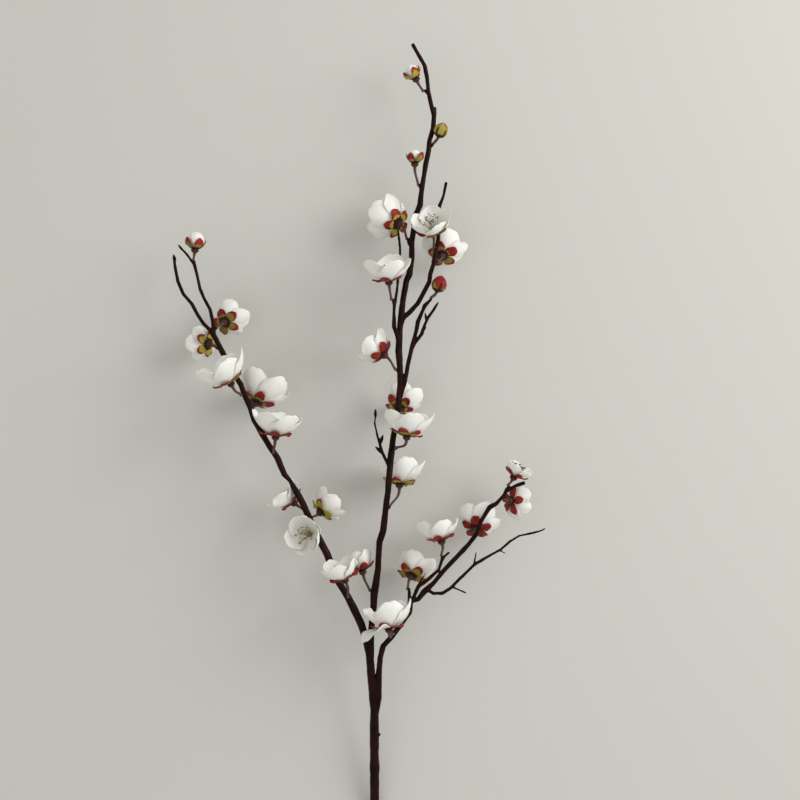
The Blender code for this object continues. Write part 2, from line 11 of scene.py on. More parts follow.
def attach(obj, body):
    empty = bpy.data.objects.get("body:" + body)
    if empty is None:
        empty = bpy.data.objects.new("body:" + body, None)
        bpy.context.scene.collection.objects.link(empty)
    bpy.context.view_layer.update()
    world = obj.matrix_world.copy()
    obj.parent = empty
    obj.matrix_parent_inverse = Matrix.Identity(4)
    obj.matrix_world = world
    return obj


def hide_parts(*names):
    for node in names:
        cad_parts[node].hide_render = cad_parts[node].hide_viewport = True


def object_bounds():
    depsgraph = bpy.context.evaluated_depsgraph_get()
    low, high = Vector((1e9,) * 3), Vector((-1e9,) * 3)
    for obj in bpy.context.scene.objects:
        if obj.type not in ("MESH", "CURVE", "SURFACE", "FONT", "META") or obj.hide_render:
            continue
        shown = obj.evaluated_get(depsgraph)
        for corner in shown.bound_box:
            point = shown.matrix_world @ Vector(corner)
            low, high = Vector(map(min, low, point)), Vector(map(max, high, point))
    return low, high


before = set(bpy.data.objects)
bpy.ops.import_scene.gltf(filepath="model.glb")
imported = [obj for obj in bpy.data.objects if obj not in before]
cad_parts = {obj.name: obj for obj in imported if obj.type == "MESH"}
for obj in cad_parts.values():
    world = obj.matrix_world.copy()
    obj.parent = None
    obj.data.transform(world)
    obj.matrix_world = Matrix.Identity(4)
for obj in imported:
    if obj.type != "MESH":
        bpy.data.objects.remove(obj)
cadBox = [list(corner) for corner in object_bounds()]
mm = 0.001
weldDistance = 1e-6
lobe = 2 * math.pi / 5  # from one petal to the next
wholeScene = bpy.context.scene.collection
sprig = bpy.data.collections.new("sprig")
wholeScene.children.link(sprig)


def mergedCopy(node):
    # a CAD node's loose triangles joined up, in a mesh of our own
    builder = bmesh.new()
    builder.from_mesh(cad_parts[node].data)
    bmesh.ops.remove_doubles(builder, verts=builder.verts, dist=weldDistance)
    builder.verts.ensure_lookup_table()
    return builder


def addPiece(name, mesh, material, replaced=()):
    mesh.name = name
    mesh.materials.clear()
    mesh.materials.append(material)
    mesh.shade_smooth()
    piece = bpy.data.objects.new(name, mesh)
    sprig.objects.link(piece)
    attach(piece, "root")
    for node in replaced:
        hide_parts(node)
    return piece


def carry(mesh):
    # a passing object that holds a mesh while modifiers work on it
    carrier = bpy.data.objects.new("carrier", mesh)
    wholeScene.objects.link(carrier)
    return carrier


def baked(carrier):
    # what the modifiers made, as a plain mesh, with the carrier gone
    shown = carrier.evaluated_get(bpy.context.evaluated_depsgraph_get())
    mesh = bpy.data.meshes.new_from_object(shown)
    carrier.modifiers.clear()
    bpy.data.objects.remove(carrier, do_unlink=True)
    return mesh


def ramp(low, high, value):
    # 0 up to low, 1 from high on, smooth between; low may be the larger of the two
    share = np.clip((value - low) / (high - low), 0, 1)
    return share * share * (3 - 2 * share)


class Surface:
    # collects closed sheets and tubes with their per-vertex values, and makes one mesh of them

    def __init__(self, valueNames):
        self.points, self.faces, self.maps = [], [], []
        self.values = {key: [] for key in valueNames}
        self.count = 0

    def take(self, points, faces, across, along, **values):
        self.points.append(points)
        self.faces.extend([tuple(corner + self.count for corner in face) for face in faces])
        self.maps.append(np.stack([across, along], axis=1))
        for key, held in self.values.items():
            held.append(np.broadcast_to(np.asarray(values.get(key, 0.0), float), len(points)))
        self.count += len(points)

    def mesh(self, place):
        points = np.concatenate(self.points)
        turn = np.array(place)
        points = points @ turn[:3, :3].T + turn[:3, 3]
        points[:, 2] = aboveFloor(points[:, 2])
        mesh = bpy.data.meshes.new("surface")
        mesh.from_pydata(points.tolist(), [], self.faces)
        spots = np.concatenate(self.maps)
        layer = mesh.uv_layers.new(name="growth")
        corners = np.zeros(len(mesh.loops), np.int32)
        mesh.loops.foreach_get("vertex_index", corners)
        layer.data.foreach_set("uv", spots[corners].astype(np.float32).ravel())
        for key, held in self.values.items():
            attribute = mesh.attributes.new(key, "FLOAT", "POINT")
            attribute.data.foreach_set("value", np.concatenate(held).astype(np.float32))
        mesh.validate()
        return mesh


def aboveFloor(heights):
    # what would dip into the surface flattens out just above it
    lowest, soft = 0.15 * mm, 0.9 * mm
    bent = lowest + soft * np.exp(np.minimum((heights - lowest - soft) / soft, 0))
    return np.where(heights < lowest + soft, bent, heights)


def sheetNormals(points, rows, columns):
    grid = points.reshape(rows, columns, 3)
    along = np.gradient(grid, axis=0)
    across = np.gradient(grid, axis=1)
    normals = np.cross(across, along).reshape(-1, 3)
    length = np.linalg.norm(normals, axis=1, keepdims=True)
    return normals / np.maximum(length, 1e-12)


def closedSheet(points, rows, columns, thickness):
    # a grid given a wall: the front, the back and a rim round them. thickness may vary by vertex
    normals = sheetNormals(points, rows, columns)
    wall = np.broadcast_to(np.asarray(thickness, float), len(points))[:, None]
    both = np.concatenate([points + normals * wall / 2, points - normals * wall / 2])
    size = rows * columns
    faces = []
    for row in range(rows - 1):
        for column in range(columns - 1):
            a = row * columns + column
            b, c, d = a + 1, a + columns + 1, a + columns
            faces.append((a, b, c, d))
            faces.append((size + d, size + c, size + b, size + a))
    rim = list(range(columns))
    rim += [row * columns + columns - 1 for row in range(1, rows)]
    rim += [(rows - 1) * columns + column for column in range(columns - 2, -1, -1)]
    rim += [row * columns for row in range(rows - 2, 0, -1)]
    for near, far in zip(rim, rim[1:] + rim[:1]):
        faces.append((near, size + near, size + far, far))
    return both, faces


def tubeFaces(rings, sides):
    # the faces of rings of points, with both ends closed
    faces = [tuple(range(sides - 1, -1, -1))]
    for ring in range(rings - 1):
        for step in range(sides):
            a, b = ring * sides + step, ring * sides + (step + 1) % sides
            faces.append((a, b, b + sides, a + sides))
    return faces + [tuple(range((rings - 1) * sides, rings * sides))]


def closedTube(centres, radii, sides):
    # a round limb along its centres; radii has one value, or one for each side, per ring
    centres = np.asarray(centres, float)
    tangents = np.gradient(centres, axis=0)
    tangents /= np.linalg.norm(tangents, axis=1, keepdims=True)
    side = Vector(tangents[0]).orthogonal().normalized()
    points = []
    for centre, tangent, radius in zip(centres, tangents, radii):
        side = (side - Vector(tangent) * side.dot(Vector(tangent))).normalized()
        other = Vector(tangent).cross(side)
        turn = np.arange(sides) / sides * 2 * math.pi
        ring = np.outer(np.cos(turn), side) + np.outer(np.sin(turn), other)
        points.append(centre + ring * np.asarray(radius).reshape(-1, 1))
    return np.concatenate(points), tubeFaces(len(centres), sides)


def bladeGrid(rows, columns):
    # shares of the way from foot to tip, and across from one rim to the other
    return np.meshgrid(np.linspace(0, 1, rows), np.linspace(-1, 1, columns), indexing="ij")


def bladePoints(distance, height, angle, inwards, sideways, turn):
    # a blade bent inwards and sideways from its middle line, then turned to its place round the blossom
    radial = distance - inwards * np.cos(angle)
    rise = height + inwards * np.sin(angle)
    x = radial * math.cos(turn) - sideways * math.sin(turn)
    y = radial * math.sin(turn) + sideways * math.cos(turn)
    return np.stack([x, y, rise], axis=2).reshape(-1, 3)


# where each blossom is, read from its CAD solids
bloomFacts = {"cup": 2.8 * mm, "gap": 0.35 * mm, "petalWall": 0.7 * mm, "firstArc": 0.36, "shutVertices": 51,
              "deepestOpen": 3 * mm}


def poles(builder):
    # the two vertices where the most edges meet
    ranked = sorted(builder.verts, key=lambda vertex: -len(vertex.link_edges))
    return ranked[0].co.copy(), ranked[1].co.copy()


def surfaceMiddle(builder):
    total, middle = 0.0, Vector((0, 0, 0))
    for face in builder.faces:
        total += face.calc_area()
        middle += face.calc_center_median() * face.calc_area()
    return middle / total


def fiveFoldAngle(builder, origin, axis, side, lowest):
    # the direction in which five lobes reach furthest
    other = axis.cross(side)
    total = 0j
    for vertex in builder.verts:
        away = vertex.co - origin
        if away.dot(axis) < lowest:
            continue
        flat = complex(away.dot(side), away.dot(other)) / mm
        total += abs(flat) ** 3 * (flat / max(abs(flat), 1e-9)) ** 5
    return math.atan2(total.imag, total.real) / 5


def petalCurve(corolla, origin, axis, side):
    # the angles from the axis at which a petal starts and ends, and its length
    other = axis.cross(side)
    found = []
    for vertex in corolla.verts:
        away = vertex.co - origin
        across, rise = Vector((away.dot(side), away.dot(other))), away.dot(axis)
        turn = math.atan2(across.y, across.x)
        if across.length > 0.2 * mm and abs((turn + lobe / 2) % lobe - lobe / 2) < math.radians(6):
            found.append((math.hypot(across.length, rise), across.length, rise))
    found.sort()
    start = np.array([0, bloomFacts["petalWall"] / 2])
    first = np.mean([spot[1:] for spot in found[:10]], axis=0) - start
    tip = np.mean([spot[1:] for spot in found[-5:]], axis=0) - start
    early, whole = math.atan2(*first), math.atan2(*tip)
    change = (whole - early) / (0.5 - bloomFacts["firstArc"] / 2)
    chord = float(np.hypot(*tip))
    length = chord * (change / 2) / math.sin(change / 2)
    return whole - change / 2, whole + change / 2, length


def readBloom(name):
    calyx = mergedCopy("calyx_" + name)
    ends = poles(calyx)
    bloom = {"name": name}
    if "corolla_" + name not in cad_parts:
        middle = surfaceMiddle(calyx)
        foot, top = sorted(ends, key=lambda end: -(end - middle).length)
        ranked = sorted(calyx.verts, key=lambda vertex: (vertex.co - top).length)
        collar = ranked[bloomFacts["shutVertices"]:][:9]  # on the ring where the shut bud meets its stalk
        base = sum((vertex.co for vertex in collar), Vector()) / len(collar)
        axis = (top - base).normalized()
        side = axis.orthogonal().normalized()
        angle = fiveFoldAngle(calyx, base, axis, side, 1 * mm)
        origin = base
        bloom.update(kind="closed", size=(top - base).length)
    else:
        corolla = mergedCopy("corolla_" + name)
        low, high = poles(corolla)
        middle = surfaceMiddle(corolla)
        foot, cupTop = sorted(ends, key=lambda end: -(end - middle).length)
        if (high - cupTop).length < (low - cupTop).length:
            low, high = high, low
        axis = (middle - low).normalized()
        side = axis.orthogonal().normalized()
        base = low - axis * (bloomFacts["cup"] + bloomFacts["gap"])
        angle = fiveFoldAngle(calyx, low, axis, side, -2 * mm) + lobe / 2
        origin = low
        if (high - low).length > bloomFacts["deepestOpen"]:
            bloom.update(kind="bud", size=(high - low).length / 2 + bloomFacts["gap"])
        else:
            turned = side * math.cos(angle) + axis.cross(side) * math.sin(angle)
            start, end, length = petalCurve(corolla, low, axis, turned)
            bloom.update(kind="open", start=start, end=end, size=length)
        corolla.free()
    calyx.free()
    along = side * math.cos(angle) + axis.cross(side) * math.sin(angle)
    turn = Matrix((along, axis.cross(along), axis)).transposed().to_4x4()
    bloom.update(base=base, foot=foot, place=Matrix.Translation(origin) @ turn)
    return bloom


blooms = {node[6:]: readBloom(node[6:]) for node in sorted(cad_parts) if node.startswith("calyx_")}
print("read", len(blooms), "blossoms and buds from the frame")


def arcPoint(bloom, arc, offset=0.0):
    # along a petal's outer side: distance from the axis, height, and the angle from the axis there
    if bloom["kind"] == "bud":
        angle = math.pi / 2 - arc / bloom["size"]
        radius = bloom["size"]
        distance = radius * np.sin(arc / radius)
        height = radius - radius * np.cos(arc / radius)
    else:
        rate = (bloom["end"] - bloom["start"]) / bloom["size"]
        angle = bloom["start"] + rate * arc
        distance = (math.cos(bloom["start"]) - np.cos(angle)) / rate
        height = (np.sin(angle) - math.sin(bloom["start"])) / rate
    return distance + offset * np.cos(angle), height - offset * np.sin(angle), angle


def feed(tree, socket, value):
    # a link where the value is another node's output, and a plain value otherwise
    if isinstance(value, bpy.types.NodeSocket):
        tree.links.new(value, socket)
    else:
        socket.default_value = value


def addNode(tree, kind, inputs=None, **settings):
    node = tree.nodes.new(kind)
    for key, value in settings.items():
        setattr(node, key, value)
    for key, value in (inputs or {}).items():
        feed(tree, node.inputs[key], value)
    return node


def addMix(tree, factor, first, second):
    # the sockets are counted, because the colour ones share their names with others
    return addNode(tree, "ShaderNodeMix", {0: factor, 6: first, 7: second}, data_type="RGBA").outputs[2]


def addMath(tree, operation, *values):
    return addNode(tree, "ShaderNodeMath", dict(enumerate(values)), operation=operation).outputs[0]


def addRange(tree, value, low, high, first=0.0, last=1.0):
    limits = {"Value": value, "From Min": low, "From Max": high, "To Min": first, "To Max": last}
    return addNode(tree, "ShaderNodeMapRange", limits, interpolation_type="SMOOTHSTEP").outputs["Result"]


def newGroup(name, kind, inputs, outputs):
    # a node tree with named inputs, each with its kind and usual value, and named outputs
    tree = bpy.data.node_groups.new(name, kind + "NodeTree")
    for label, socketKind, value in inputs:
        socket = tree.interface.new_socket(label, in_out="INPUT", socket_type="NodeSocket" + socketKind)
        if value is not None:
            socket.default_value = value
    for label, socketKind in outputs:
        tree.interface.new_socket(label, in_out="OUTPUT", socket_type="NodeSocket" + socketKind)
    return tree, tree.nodes.new("NodeGroupInput").outputs, tree.nodes.new("NodeGroupOutput").inputs


def makeMottle():
    # cloudy variation at two sizes, 0 to 1
    tree, given, result = newGroup("mottle", "Shader", [("Scale", "Float", 200.0), ("Fine", "Float", 0.5),
                                                        ("Shift", "Float", 0.0)], [("Value", "Float")])
    spot = addNode(tree, "ShaderNodeTexCoord").outputs["Object"]
    coarse = addNode(tree, "ShaderNodeTexNoise", {"Vector": spot, "Scale": given["Scale"], "W": given["Shift"],
                                                  "Detail": 3.0}, noise_dimensions="4D")
    fineScale = addMath(tree, "MULTIPLY", given["Scale"], 5.0)
    fine = addNode(tree, "ShaderNodeTexNoise", {"Vector": spot, "Scale": fineScale, "Detail": 4.0})
    mixed = addNode(tree, "ShaderNodeMix", {"Factor": given["Fine"], "A": coarse.outputs[0],
                                            "B": fine.outputs[0]}, data_type="FLOAT")
    feed(tree, result["Value"], mixed.outputs[0])
    return tree


def makeVeins():
    # fine wandering lines from a petal's or a sepal's foot to its rim
    tree, given, result = newGroup("veins", "Shader", [("Lines", "Float", 9.0), ("Wander", "Float", 2.0)],
                                   [("Value", "Float")])
    growth = addNode(tree, "ShaderNodeUVMap", uv_map="growth").outputs["UV"]
    parts = addNode(tree, "ShaderNodeSeparateXYZ", {"Vector": growth})
    drawn = addNode(tree, "ShaderNodeCombineXYZ", {"X": parts.outputs["X"], "Y": parts.outputs["Y"]})
    bent = addNode(tree, "ShaderNodeTexNoise", {"Vector": drawn.outputs[0], "Scale": 5.0, "Detail": 2.0})
    shift = addMath(tree, "MULTIPLY", addMath(tree, "SUBTRACT", bent.outputs[0], 0.5), given["Wander"])
    phase = addMath(tree, "MULTIPLY", parts.outputs["X"], given["Lines"])
    wave = addMath(tree, "SINE", addMath(tree, "MULTIPLY", addMath(tree, "ADD", phase, shift), 2 * math.pi))
    sharp = addMath(tree, "POWER", addMath(tree, "ABSOLUTE", wave), 6.0)
    feed(tree, result["Value"], sharp)
    return tree


mottle, veins = makeMottle(), makeVeins()


def newMaterial(name):
    material = bpy.data.materials.new(name)
    material.use_nodes = True
    tree = material.node_tree
    return material, tree, tree.nodes["Principled BSDF"].inputs


def dress(tree, shader, colour, roughness, normal, plain=None):
    # what changes over the surface, then the plain values that are the same all over
    changing = {"Base Color": colour, "Roughness": roughness, "Normal": normal}
    for label, value in {**changing, **(plain or {})}.items():
        feed(tree, shader[label], value)


def addMottle(tree, scale, fine=0.5, shift=0.0):
    inputs = {"Scale": scale, "Fine": fine, "Shift": shift}
    return addNode(tree, "ShaderNodeGroup", inputs, node_tree=mottle).outputs["Value"]


def addVeins(tree, lines, wander):
    return addNode(tree, "ShaderNodeGroup", {"Lines": lines, "Wander": wander}, node_tree=veins).outputs["Value"]


def readValue(tree, name):
    return addNode(tree, "ShaderNodeAttribute", attribute_name=name).outputs["Fac"]


def addBump(tree, height, strength, distance, under=None):
    inputs = {"Strength": strength, "Distance": distance, "Height": height}
    if under is not None:
        inputs["Normal"] = under
    return addNode(tree, "ShaderNodeBump", inputs).outputs["Normal"]


petalLook = {
    "ivory": (0.84, 0.835, 0.80, 1), "cream": (0.77, 0.74, 0.65, 1), "foot": (0.62, 0.62, 0.36, 1),
    "rows": 22, "columns": 25, "halfWidth": 0.475, "claw": 0.20, "widest": 0.64, "tipRound": 0.34,
    "spoon": 1.05, "wrap": 0.62, "roll": 0.105, "wall": 0.24 * mm, "ruffle": 0.45 * mm, "lip": 0.5 * mm,
    "lengthSpread": 0.07, "openingSpread": 7, "leanSpread": 0.06, "twistSpread": 5,
}

# how far each blossom's petals differ from the plain form: ruffle, how uneven they are, and how spoon-like
petalMood = {
    "leader_5": (0.9, 1.0, 1.0), "leader_6": (0.6, 0.7, 1.2), "left_4": (0.7, 0.7, 1.0), "left_5": (1.0, 1.3, 1.1),
    "left_6": (1.0, 1.4, 1.0), "left_7": (1.6, 1.1, 1.0), "left_9": (0.8, 0.6, 0.9), "right_1": (1.4, 1.3, 1.1),
    "right_2": (1.9, 1.5, 0.8), "right_6": (0.8, 1.2, 0.9),
}

# a petal that hangs back over its calyx: the way it points, the angle at its tip, and its share of full length
hangingPetals = {"right_6": ((-0.75, 0.0, 0.6), 2.75, 0.84)}


def makePetalMaterial():
    material, tree, shader = newMaterial("petal ivory")
    growth = addNode(tree, "ShaderNodeUVMap", uv_map="growth").outputs["UV"]
    along = addNode(tree, "ShaderNodeSeparateXYZ", {"Vector": growth}).outputs["Y"]
    cloud = addMottle(tree, 130.0, 0.35, readValue(tree, "seed"))
    lines = addVeins(tree, 6.5, 1.1)
    body = addMix(tree, addRange(tree, cloud, 0.32, 0.68), petalLook["cream"], petalLook["ivory"])
    soft = addMix(tree, 0.62, body, petalLook["ivory"])
    footShare = addRange(tree, along, 0.30, 0.04, 0.0, 1.0)
    colour = addMix(tree, footShare, soft, petalLook["foot"])
    veined = addMix(tree, addMath(tree, "MULTIPLY", lines, 0.10), colour, (0.66, 0.64, 0.55, 1))
    crepe = addMottle(tree, 900.0, 0.6)
    raised = addBump(tree, lines, 0.25, 0.15 * mm)
    dress(tree, shader, veined, addRange(tree, crepe, 0.3, 0.7, 0.48, 0.66),
          addBump(tree, crepe, 0.35, 0.12 * mm, raised),
          {"Specular IOR Level": 0.32, "Sheen Weight": 0.12, "Subsurface Weight": 0.18,
           "Subsurface Radius": (0.9, 0.85, 0.7), "Subsurface Scale": 1.2 * mm})
    return material


petalMaterial = makePetalMaterial()


def petalGrid(bloom, index, draw, hanging):
    # one blade in the blossom's own axes, before it has a wall
    look, length = petalLook, bloom["size"]
    ruffle, uneven, spoon = petalMood.get(bloom["name"], (1.0, 1.0, 1.0))
    share, across = bladeGrid(look["rows"], look["columns"])
    longer = 1 + look["lengthSpread"] * uneven * draw.uniform(-1, 1)
    opening = math.radians(look["openingSpread"]) * uneven * draw.uniform(-1, 1)
    lean = look["leanSpread"] * uneven * draw.uniform(-1, 1)
    twist = math.radians(look["twistSpread"]) * uneven * draw.uniform(-1, 1)
    waves = [(draw.uniform(1.2, 2.4), draw.uniform(0, 2 * math.pi), draw.uniform(0.5, 1)) for _ in range(3)]
    # outline: a narrow claw, a broad blade, a round top with a slight dip
    belly = np.sin(np.minimum(share / look["widest"], 1) * math.pi / 2) ** 0.85
    past = np.clip((share - look["widest"]) / (1 - look["widest"]), 0, 1)
    half = length * look["halfWidth"] * (look["claw"] + (1 - look["claw"]) * belly) * (1 - 0.13 * past ** 2)
    top = 1 - look["tipRound"] * np.abs(across + lean) ** 2.3 * share ** 1.5
    top -= 0.035 * np.exp(-((across - lean) / 0.16) ** 2) * share ** 3
    arc = share * length * longer * top
    bent = dict(bloom, end=bloom["end"] + opening)
    if index == hanging:
        _, bent["end"], shorter = hangingPetals[bloom["name"]]
        arc = arc * shorter
    distance, height, angle = arcPoint(bent, arc, -look["wall"] * 0.8)
    # across: the cup's own roundness and the blade's spoon shape
    natural = look["wrap"] * np.maximum(np.cos(angle), 0) / np.maximum(distance, 0.25 * length)
    bend = natural + spoon / (look["spoon"] * length) * (0.45 + 0.55 * np.sin(np.pi * np.minimum(share, 0.95)))
    bend = np.minimum(bend, 1.25 / half)
    round_ = across * half * bend
    sideways = np.sin(round_) / bend
    inwards = (1 - np.cos(round_)) / bend
    inwards += look["roll"] * across * half * ramp(0.05, 0.5, share)
    rim = ramp(0.25, 1.0, share) * (0.25 + 0.75 * np.abs(across) ** 1.5)
    for rate, phase, strength in waves:
        inwards += look["ruffle"] * ruffle * strength * rim * np.sin(across * rate * math.pi + share * 2.2 + phase)
    inwards += look["lip"] * draw.uniform(-0.6, 1) * ramp(0.82, 1.0, share)  # the lip curls a little
    sideways = sideways + math.sin(twist) * arc * 0.5
    points = bladePoints(distance, height, angle, inwards, sideways, index * lobe)
    return points, share.ravel(), across.ravel()


def openPetals(bloom, draw):
    surface = Surface(("seed",))
    rows, columns = petalLook["rows"], petalLook["columns"]
    hanging = None
    if bloom["name"] in hangingPetals:
        way = bloom["place"].to_3x3().transposed() @ Vector(hangingPetals[bloom["name"]][0])
        hanging = max(range(5), key=lambda index: math.cos(index * lobe) * way.x + math.sin(index * lobe) * way.y)
    for index in range(5):
        points, share, across = petalGrid(bloom, index, draw, hanging)
        edge = np.maximum(ramp(0.8, 1.0, share), ramp(0.85, 1.0, np.abs(across)))
        both, faces = closedSheet(points, rows, columns, petalLook["wall"] * (1 - 0.55 * edge))
        surface.take(both, faces, np.tile(across * 0.5 + 0.5, 2), np.tile(share, 2), seed=draw.uniform(0, 20))
    return surface


def foldedPetals(bloom, draw):
    # a bud's ball: five petals wound over each other towards the top
    surface = Surface(("seed",))
    radius, rings, sides = bloom["size"] - 0.1 * mm, 26, 60
    polar = np.linspace(0.02, math.pi - 0.02, rings)
    spread = np.arange(sides) / sides * 2 * math.pi
    heights = [radius - radius * math.cos(tilt) * 1.04 for tilt in polar]
    widths = []
    for tilt in polar:
        wound = (spread * 5 / (2 * math.pi) + 0.9 * tilt / math.pi) % 1
        step = 0.055 * ramp(0.0, 0.16, wound) * (1 - wound * 0.8)
        widths.append(radius * math.sin(tilt) * (0.965 + step * ramp(0.5, 1.6, tilt)))
    points = np.concatenate([
        np.stack([width * np.cos(spread), width * np.sin(spread), np.full(sides, height)], axis=1)
        for height, width in zip(heights, widths)])
    points[:, 2] += 0.12 * mm * np.sin(5 * np.tile(spread, rings)) * np.repeat(np.sin(polar), sides)
    share = np.repeat(polar / math.pi, sides)
    surface.take(points, tubeFaces(rings, sides), np.tile((spread * 5 / (2 * math.pi)) % 1, rings),
                 0.25 + 0.75 * share, seed=draw.uniform(0, 20))
    return surface


for name, bloom in blooms.items():
    draw = random.Random("petals " + name)
    if bloom["kind"] == "open":
        surface = openPetals(bloom, draw)
    elif bloom["kind"] == "bud":
        surface = foldedPetals(bloom, draw)
    else:
        continue
    addPiece(name + "_petals", surface.mesh(bloom["place"]), petalMaterial, ["corolla_" + name])
print("petals made")


# pedicels, cups and sepals
sepalLook = {
    "olive": (0.19, 0.135, 0.024, 1), "lime": (0.40, 0.34, 0.045, 1), "red": (0.33, 0.022, 0.014, 1),
    "deepRed": (0.13, 0.009, 0.007, 1), "star": (0.040, 0.006, 0.006, 1), "stalk": (0.100, 0.052, 0.045, 1),
    "rows": 15, "columns": 13, "reach": 0.45, "halfWidth": 0.150, "usual": 24 * mm, "wall": 0.42 * mm,
    "clear": 0.62 * mm, "flare": 1.7 * mm, "pedicel": 0.84 * mm, "rooted": 1.2 * mm,
}

# how much of each calyx is red, and how bright its green is
calyxTint = {
    "leader_1": (0.38, 0.9), "leader_2": (0.30, 0.6), "leader_3": (0.55, 0.5), "leader_4": (0.55, 0.8),
    "leader_5": (0.90, 0.3), "leader_6": (0.92, 0.3), "leader_7": (0.60, 0.6), "leader_8": (0.66, 0.6),
    "leader_9": (0.40, 0.9), "leader_10": (1.0, 0.2), "twig_1": (0.55, 0.6), "twig_2": (0.62, 0.4),
    "twig_3": (0.85, 0.4), "left_1": (0.62, 0.3), "left_2": (0.52, 0.4), "left_3": (0.50, 0.9),
    "left_4": (0.45, 0.8), "left_5": (0.62, 0.5), "left_6": (0.80, 0.5), "left_7": (0.85, 0.4),
    "left_8": (0.30, 1.0), "left_9": (0.35, 0.8), "left_10": (0.92, 0.4), "right_1": (1.1, 0.1),
    "right_2": (1.2, 0.0), "right_3": (1.15, 0.1), "right_4": (0.98, 0.3), "right_5": (0.66, 0.5),
    "right_6": (0.80, 0.6),
}


def makeSepalMaterial():
    look = sepalLook
    material, tree, shader = newMaterial("calyx red and green")
    cloud = addMottle(tree, 260.0, 0.4, readValue(tree, "seed"))
    fine = addMottle(tree, 900.0, 0.5)
    bright = addMath(tree, "ADD", readValue(tree, "lime"), addMath(tree, "MULTIPLY", cloud, 0.5))
    green = addMix(tree, addRange(tree, bright, 0.35, 1.2), look["olive"], look["lime"])
    red = addMix(tree, addRange(tree, cloud, 0.62, 0.36), look["red"], look["deepRed"])
    patchy = addMath(tree, "SUBTRACT", cloud, 0.5)
    blush = addMath(tree, "ADD", readValue(tree, "blush"), addMath(tree, "MULTIPLY", patchy, 0.7))
    colour = addMix(tree, addRange(tree, blush, 0.36, 0.60), green, red)
    rayed = addMath(tree, "ADD", readValue(tree, "ray"), addMath(tree, "MULTIPLY", patchy, 0.35))
    starred = addMix(tree, addRange(tree, rayed, 0.35, 0.62), colour, look["star"])
    stalky = addMath(tree, "MULTIPLY", readValue(tree, "stalk"), addRange(tree, fine, 0.25, 0.5, 0.7, 1.0))
    browned = addMix(tree, stalky, starred, look["stalk"])
    raised = addBump(tree, addVeins(tree, 3.0, 0.5), 0.3, 0.2 * mm)
    dress(tree, shader, browned, addRange(tree, fine, 0.3, 0.7, 0.42, 0.62),
          addBump(tree, fine, 0.5, 0.2 * mm, raised), {"Specular IOR Level": 0.18})
    return material


sepalMaterial = makeSepalMaterial()


def pedicelPath(bloom):
    # from its woody spur to the cup, arriving along the blossom's axis, in the blossom's own axes
    inside = bloom["place"].inverted()
    foot, base = inside @ bloom["foot"], inside @ bloom["base"]
    reach = (base - foot).length
    first = foot + (base - foot) * 0.38
    second = base - Vector((0, 0, 1)) * reach * 0.42
    steps = []
    for step in np.linspace(0, 1, 10):
        rest = 1 - step
        steps.append(foot * rest ** 3 + first * (3 * step * rest ** 2) + second * (3 * step ** 2 * rest)
                     + base * step ** 3)
    steps.insert(0, foot - (first - foot).normalized() * sepalLook["rooted"])
    return steps, base


# the cup's rings: their height in it, their half width in mm, and how much of the stalk's brown they have
cupRings = ((0.03, 0.92, 0.75), (0.12, 1.25, 0.55), (0.28, 1.9, 0.45), (0.46, 2.35, 0.35), (0.66, 2.5, 0.2),
            (0.85, 2.5, 0.1), (0.97, 2.3, 0.0), (1.05, 1.2, 0.0))


def addStalk(surface, bloom, seed):
    look = sepalLook
    path, base = pedicelPath(bloom)
    centres = [tuple(point) for point in path]
    centres += [(0, 0, base.z + bloomFacts["cup"] * rise) for rise, _, _ in cupRings]
    sides = 20
    spread = np.arange(sides) / sides * 2 * math.pi
    radii = []
    for index in range(len(path)):
        share = index / (len(path) - 1)
        radii.append(look["pedicel"] * (1.18 - 0.35 * math.sin(math.pi * share) + 0.12 * share))
    radii += [width * mm * (1 + 0.05 * np.cos(5 * spread)) for _, width, _ in cupRings]
    points, faces = closedTube(centres, radii, sides)
    rings = len(centres)
    stalk = np.repeat([1.0] * len(path) + [brown for _, _, brown in cupRings], sides)
    surface.take(points, faces, np.tile(spread / (2 * math.pi), rings), np.repeat(np.linspace(0, 1, rings), sides),
                 stalk=stalk, ray=0.8, blush=0.9, lime=0.2, seed=seed)


def sepalGrid(bloom, index, draw, wildness):
    look = sepalLook
    length = bloom["size"] * (math.pi if bloom["kind"] == "bud" else 1)
    share, across = bladeGrid(look["rows"], look["columns"])
    size = math.sqrt(length * look["usual"])  # sepals vary less in size than the blossoms do
    wide = look["halfWidth"] * size * draw.uniform(0.92, 1.08)
    reach = look["reach"] * size * draw.uniform(0.92, 1.08)
    belly = np.sin(np.minimum(share / 0.72, 1) * math.pi / 2) ** 1.7
    half = wide * (0.40 + 0.60 * belly)
    point = draw.uniform(-0.02, 0.05)
    top = 1 - 0.36 * (1 - np.sqrt(1 - np.minimum(np.abs(across), 0.999) ** 2)) * share ** 1.2
    top += point * np.exp(-(across / 0.25) ** 2) * share ** 3
    arc = (0.08 + 0.92 * share) * reach * top
    lift = look["clear"] + look["flare"] * wildness * draw.uniform(0.1, 1.5) * ramp(0.30, 1.0, share)
    distance, height, angle = arcPoint(bloom, arc, lift)
    bend = np.minimum(0.85 * np.maximum(np.cos(angle), 0.12) / np.maximum(distance, 0.3 * reach), 0.9 / half)
    round_ = across * half * bend
    sideways, inwards = np.sin(round_) / bend, (1 - np.cos(round_)) / bend
    phase, rate = draw.uniform(0, 6.3), draw.uniform(1.1, 1.9)
    inwards += 0.28 * mm * wildness * ramp(0.3, 1, share) * np.sin(across * rate * math.pi + phase)
    turn = (index + 0.5) * lobe + math.radians(draw.uniform(-4, 4))
    points = bladePoints(distance, height, angle, inwards, sideways, turn)
    return points, share.ravel(), across.ravel()


